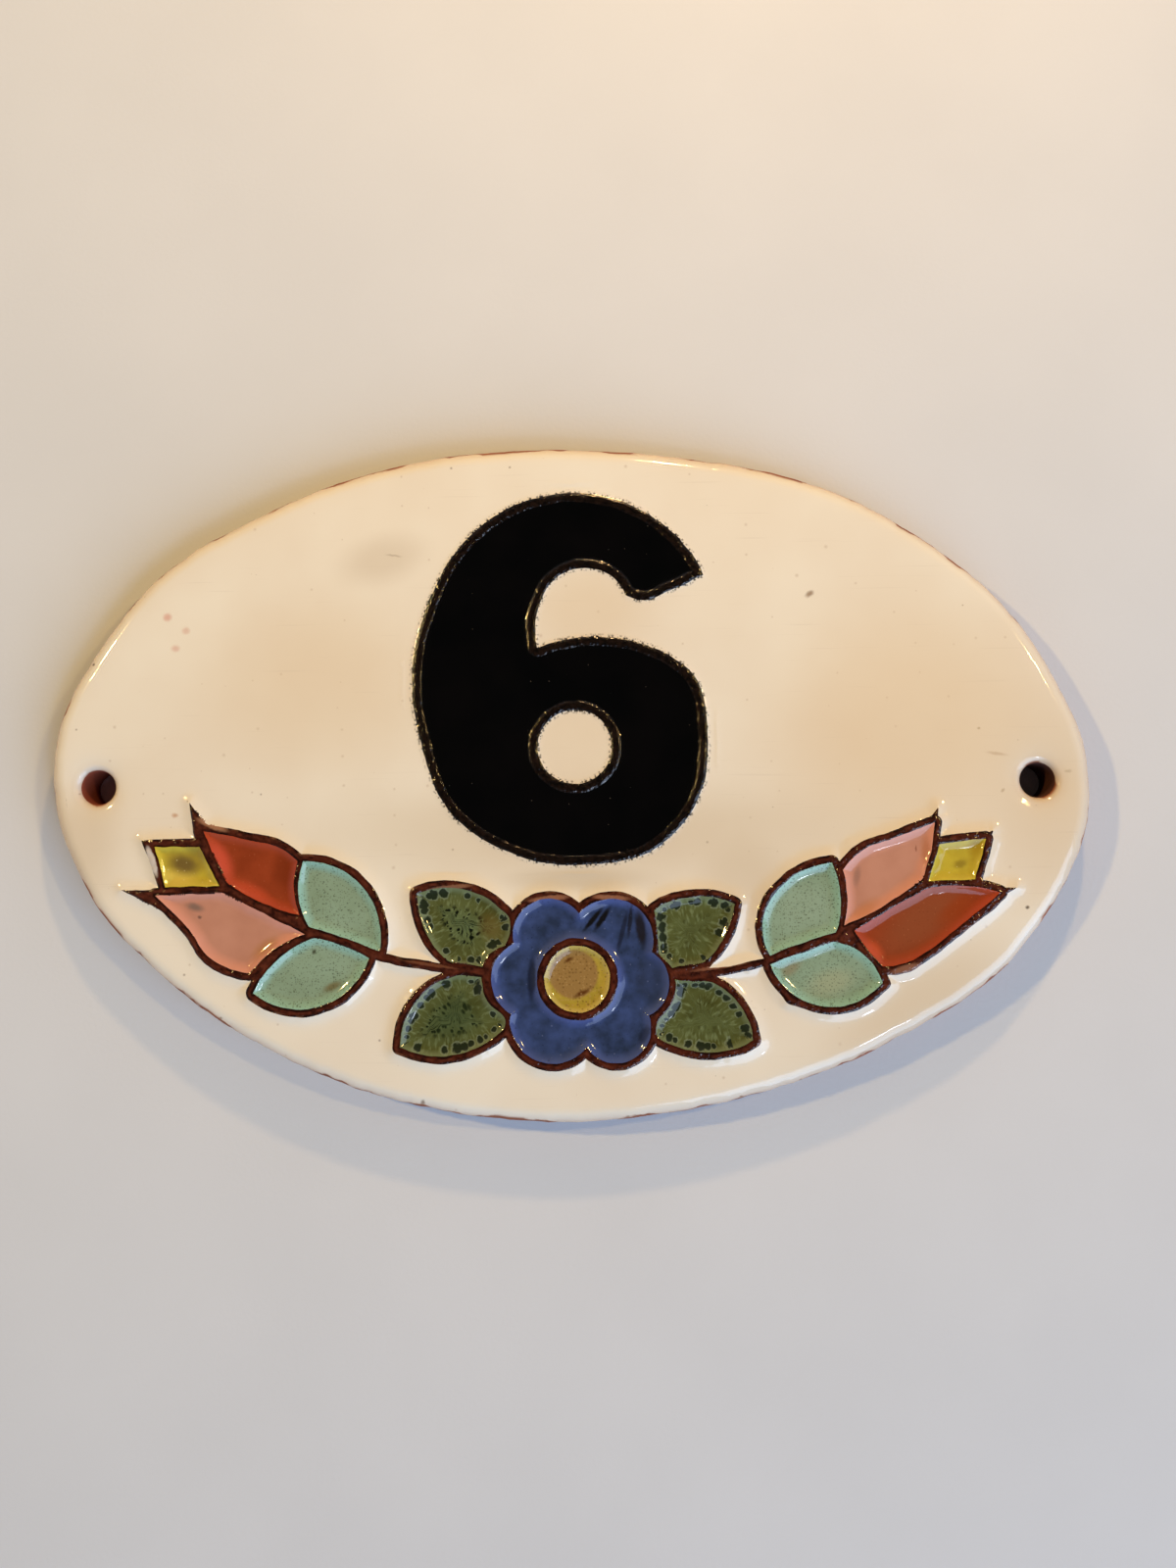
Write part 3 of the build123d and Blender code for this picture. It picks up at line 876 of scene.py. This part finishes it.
def leaf_green_glaze():
    """Olive glaze that boiled: a row of dark bubbles inside its pale rim, and flecks in the middle."""
    material, tree, shader, place, edge = new_material("leaf_green_glaze")
    colour = mottled(tree, place, 4.0, "#575F36", "#474A22")
    # Pale rays that run in from the line, and dark flecks in the middle, mostly of the left leaves
    along = add(tree, "Attribute", attribute_name="along_mm").outputs["Fac"]
    rays = add(tree, "CombineXYZ", {0: along, 1: edge}).outputs[0]
    fibres = add(tree, "Mapping", {"Vector": rays, "Scale": (1 / 0.55, 1 / 1.6, 1)}).outputs[0]
    fibres = add(tree, "TexNoise", {"Vector": fibres, "Scale": 1.0, "Detail": 2.0}).outputs["Fac"]
    fibres = add(tree, "MapRange", {"Value": fibres, 1: 0.50, 2: 0.68, 4: 0.7}).outputs[0]
    colour = add(tree, "Mix", {0: fibres, 6: colour, 7: srgb("#76835A")}, data_type="RGBA").outputs[2]
    flecked = rimmed(tree, edge, colour, "#5F7350", 6.0, 2.4, 0.6)
    flecked = speckled(tree, rays, flecked, "#0C1208", 0.85, 0.74, 0.90, 1.8)
    middle = add(tree, "MapRange", {"Value": edge, 1: 2.6, 2: 3.6}).outputs[0]
    side = add(tree, "SeparateXYZ", {0: place}).outputs["X"]
    side = add(tree, "MapRange", {"Value": side, 1: 0.0, 2: 1.0, 3: 1.0, 4: 0.25}).outputs[0]
    middle = add(tree, "Math", {0: middle, 1: side}, operation="MULTIPLY").outputs[0]
    colour = add(tree, "Mix", {0: middle, 6: colour, 7: flecked}, data_type="RGBA").outputs[2]
    colour = marked(tree, place, colour, [
        (-13.0, -25.4, 3.0, 3.8, 20, "#66562A", 0.6),
        (-19.5, -40.5, 7.5, 5.5, 25, "#2F3B1E", 0.5),
    ])
    colour = rimmed(tree, edge, colour, "#737F5A", 0.25, 1.0, 0.7)
    # The row of bubbles: ragged ovals, some left out, each with a pale skin round it
    row = add(tree, "Math", {0: along, 1: 1 / bubble_spacing}, operation="MULTIPLY").outputs[0]
    cells = add(tree, "TexVoronoi", {"W": row, "Scale": 1.0, "Randomness": 0.95}, voronoi_dimensions="1D")
    chance = add(tree, "SeparateColor", {0: cells.outputs["Color"]})
    length = add(tree, "MapRange", {"Value": chance.outputs["Red"], 3: 0.24, 4: 0.58}).outputs[0]
    depth = add(tree, "MapRange", {"Value": chance.outputs["Red"], 3: 0.42, 4: 0.88}).outputs[0]
    beside = add(tree, "Math", {0: cells.outputs["Distance"], 1: length}, operation="DIVIDE").outputs[0]
    inward = add(tree, "Math", {0: edge, 1: bubble_row}, operation="SUBTRACT").outputs[0]
    inward = add(tree, "Math", {0: inward, 1: depth}, operation="DIVIDE").outputs[0]
    oval = add(tree, "CombineXYZ", {0: beside, 1: inward}).outputs[0]
    oval = add(tree, "VectorMath", {0: oval}, operation="LENGTH").outputs["Value"]
    ragged = add(tree, "TexNoise", {"Vector": place, "Scale": 1 / 0.7, "Detail": 2.0}).outputs["Fac"]
    ragged = add(tree, "Math", {0: ragged, 1: 1.2, 2: -0.6}, operation="MULTIPLY_ADD").outputs[0]
    oval = add(tree, "Math", {0: oval, 1: ragged}, operation="ADD").outputs[0]
    present = add(tree, "Math", {0: chance.outputs["Blue"], 1: 0.15}, operation="GREATER_THAN").outputs[0]
    skin = add(tree, "MapRange", {"Value": oval, 1: 1.40, 2: 1.18, 4: 0.45}).outputs[0]
    skin = add(tree, "Math", {0: skin, 1: present}, operation="MULTIPLY").outputs[0]
    colour = add(tree, "Mix", {0: skin, 6: colour, 7: srgb("#84927A")}, data_type="RGBA").outputs[2]
    bubble = add(tree, "MapRange", {"Value": oval, 1: 1.1, 2: 0.85, 4: 0.95}).outputs[0]
    bubble = add(tree, "Math", {0: bubble, 1: present}, operation="MULTIPLY").outputs[0]
    colour = add(tree, "Mix", {0: bubble, 6: colour, 7: srgb("#1A2212")}, data_type="RGBA").outputs[2]
    surfaced(tree, shader, place, colour, 0.06, 2.0, 0.012, coloured_shine)
    return material


def cobalt_glaze():
    """Cobalt glaze, brushed on: slate blue with fine specks, a bright rim that is partly a painted
    reflection, dark brushstrokes, and painted shade left of the eye.
    """
    material, tree, shader, place, edge = new_material("cobalt_glaze")
    colour = mottled(tree, place, 2.4, "#3B4C7A", "#28344E", 0.2)
    # Lighter where the glaze thins up the lines, partly a painted reflection of the cool window on those
    # slopes
    colour = rimmed(tree, edge, colour, "#5363A2", 0.2, 1.5, 0.6)
    strokes_and_shade = [
        (4.3, -24.1, 3.3, 0.60, 50, "#141416", 1.0),
        (5.9, -24.0, 3.2, 0.68, 56, "#141416", 1.0),
        (9.3, -26.2, 4.8, 0.55, 76, "#1C2030", 0.75),
        (10.6, -24.4, 3.6, 0.50, 84, "#1A1A20", 0.8),
        (12.4, -25.6, 4.2, 1.15, 97, "#1E1A1A", 0.9),
        # Painted shade left of the eye, on the slope turned away from the window
        (-6.2, -34.0, 5.0, 1.00, 88, "#1A2034", 0.85),
        (12.8, -43.6, 2.2, 1.00, 60, "#1E2338", 0.6),
        (14.0, -34.0, 3.4, 5.4, 0, "#2B3346", 0.5),
    ]
    colour = marked(tree, place, colour, strokes_and_shade, 0.4)
    colour = speckled(tree, place, colour, "#1B2138", 0.9, 0.18, 0.5, 0.8)
    colour = speckled(tree, place, colour, "#7480AC", 1.5, 0.18, 0.3, 0.6)
    surfaced(tree, shader, place, colour, glaze_roughness, 2.0, 0.015, coloured_shine)
    return material


def ochre_glaze():
    """Ochre glaze of the eye: brown and grainy where it burnt, clear yellow round it."""
    material, tree, shader, place, edge = new_material("ochre_glaze")
    colour = mottled(tree, place, 2.0, "#B8A03E", "#A08C32")
    colour = marked(tree, place, colour, [(0.95, -33.3, 4.5, 4.5, 0, "#957542", 1.0)], 0.85)
    burns = [
        (0.1, -30.9, 1.2, 0.50, 30, "#5A3412", 0.95),
        (2.4, -36.5, 2.2, 0.60, 25, "#5A3412", 0.95),
    ]
    colour = marked(tree, place, colour, burns)
    colour = rimmed(tree, edge, colour, "#CFBB68", 0.2, 0.8, 0.6)
    colour = speckled(tree, place, colour, "#B4935C", 0.5, 0.30, 0.6, 0.6)
    colour = speckled(tree, place, colour, "#62441E", 0.6, 0.30, 0.7, 0.8)
    surfaced(tree, shader, place, colour, glaze_roughness, 0.8, 0.02)
    return material


def black_glaze():
    """Deep glossy black with a little dust."""
    material, tree, shader, place, _ = new_material("black_glaze")
    colour = mottled(tree, place, 10.0, "#050404", "#020202")
    colour = speckled(tree, place, colour, "#6A6258", 3.4, 0.12, 0.25, 0.7)
    surfaced(tree, shader, place, colour, 0.05, 6.0, 0.01)
    return material


def bare_red_clay():
    """Fired red clay with no glaze: matt and sandy, with painted shade that darkens it in and round the
    holes.
    """
    material, tree, shader, place, _ = new_material("bare_red_clay")
    colour = mottled(tree, place, clay_patches, *clay_colours)
    colour = speckled(tree, place, colour, "#5E3020", 1.2, 0.2, 0.4, 0.6)
    # Painted shade in and round the holes, darkest in the right one
    hole_shade_tints = ("#80341B", "#34100A")
    hole_shade = [(x, y, 3.3, 3.3, 0, tint, 0.85) for (x, y), tint in zip(hole_centres, hole_shade_tints)]
    colour = marked(tree, place, colour, hole_shade, 0.92)
    surfaced(tree, shader, place, colour, 0.85, 0.6, 0.08)
    return material


materials = {
    "white": tin_white_glaze(),
    "line": manganese_line(),
    "figure_line": figure_line(),
    "red": iron_red_glaze(),
    "pink": pink_glaze(),
    "yellow": yellow_glaze(),
    "mint": copper_mint_glaze(),
    "leaf": leaf_green_glaze(),
    "blue": cobalt_glaze(),
    "ochre": ochre_glaze(),
    "black": black_glaze(),
    "clay": bare_red_clay(),
}

# The skin as one mesh
mesh = bpy.data.meshes.new("glazed_plaque")
mesh.from_pydata((np.concatenate(vertices) * MM).tolist(), [], faces)
slots = list(materials)
for name in slots:
    mesh.materials.append(materials[name])
mesh.polygons.foreach_set("material_index", [slots.index(glaze) for glaze in face_glaze])
mesh.polygons.foreach_set("use_smooth", [True] * len(faces))
distances_of_plan = {
    "along_mm": along_edge,
    "figure_mm": np.where(of_figure, from_edge, far_off),
    "edge_mm": from_edge,
    "shore_mm": from_shore,
}
for name, measured in distances_of_plan.items():
    values = np.full(vertex_total, far_off, np.float32)
    values[:len(plan)] = measured
    mesh.attributes.new(name, "FLOAT", "POINT").data.foreach_set("value", values)
mesh.update()
plaque = bpy.data.objects.new("glazed_plaque", mesh)
bpy.context.scene.collection.objects.link(plaque)
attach(plaque, "root")
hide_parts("plaque")

# Stage, light and camera
floor_mesh = bpy.data.meshes.new("floor")
floor_half = 3.0  # metres
floor_corners = [(x * floor_half, y * floor_half, 0) for x, y in ((-1, -1), (1, -1), (1, 1), (-1, 1))]
floor_mesh.from_pydata(floor_corners, [], [(0, 1, 2, 3)])
floor = bpy.data.objects.new("floor", floor_mesh)
floor_material, floor_tree, floor_shader, floor_place, _ = new_material("pale_floor")
floor_colour = mottled(floor_tree, floor_place, 40, "#D3D7DC", "#D0D4D9")
surfaced(floor_tree, floor_shader, floor_place, floor_colour, 0.9, 0.8, 0.03)
floor_mesh.materials.append(floor_material)
bpy.context.scene.collection.objects.link(floor)


def soft_light(name, bearing, rise, distance, size, power, colour):
    """A square lamp that looks at the middle of the face."""
    lamp = bpy.data.lights.new(name, "AREA")
    lamp.size = size
    lamp.energy = power
    lamp.color = srgb(colour)[:3]
    holder = bpy.data.objects.new(name, lamp)
    level = cos(radians(rise))
    toward = Vector((level * cos(radians(bearing)), level * sin(radians(bearing)), sin(radians(rise))))
    holder.location = toward * distance
    holder.rotation_euler = toward.to_track_quat("Z", "Y").to_euler()
    bpy.context.scene.collection.objects.link(holder)


# A broad cool window with a bright pane, and three small warm lamps
soft_light("window", -44, 30, 1.60, 1.60, 29.0, "#C4DCFF")
soft_light("pane", -50, 50, 1.00, 0.08, 0.5, "#E4EEFF")
soft_light("left_lamp", 155, 44, 0.80, 0.034, 2.3, "#FFD684")
soft_light("right_lamp", 24, 50, 0.70, 0.034, 0.95, "#FFD684")
soft_light("top_lamp", 80, 32, 0.36, 0.016, 0.48, "#FFD08C")

# The room is pale grey low down and dark overhead
low_grey = (0.36, 0.38, 0.41, 1)
high_grey = (0.03, 0.03, 0.03, 1)
world = bpy.data.worlds.new("studio")
bpy.context.scene.world = world
world.use_nodes = True
sky = world.node_tree
ray = add(sky, "TexCoord").outputs["Generated"]
lift = add(sky, "SeparateXYZ", {0: ray}).outputs["Z"]
dusk = add(sky, "MapRange", {"Value": lift, 1: 0.3, 2: 0.85}).outputs[0]
shade = add(sky, "Mix", {0: dusk, 6: low_grey, 7: high_grey}, data_type="RGBA").outputs[2]
sky.links.new(shade, sky.nodes["Background"].inputs["Color"])

# Camera: its place over the face in millimetres, and how it leans and rolls from straight down
camera_place = Vector((7.33, -14.53, face_level + 201.9))
lean_x, lean_y, roll = 0.018896, 0.067108, radians(0.4039)
camera_data = bpy.data.cameras.new("camera")
camera_data.sensor_fit = "VERTICAL"
camera_data.sensor_height = 36
camera_data.lens = 27.05
camera_data.clip_start = 0.01
camera = bpy.data.objects.new("camera", camera_data)
normal = -Vector((lean_x, lean_y, 1)).normalized()
across = Vector((1, 0, 0))
across = (across - across.dot(normal) * normal).normalized()
upward = normal.cross(across)
rows = (cos(roll) * across + sin(roll) * upward, cos(roll) * upward - sin(roll) * across, normal)
right, down, forward = Matrix(rows).transposed()
turned = Matrix((right, -down, -forward)).transposed()
camera.matrix_world = Matrix.Translation(camera_place * MM) @ turned.to_4x4()
bpy.context.scene.collection.objects.link(camera)
bpy.context.scene.camera = camera
bpy.context.scene.view_settings.view_transform = "Standard"
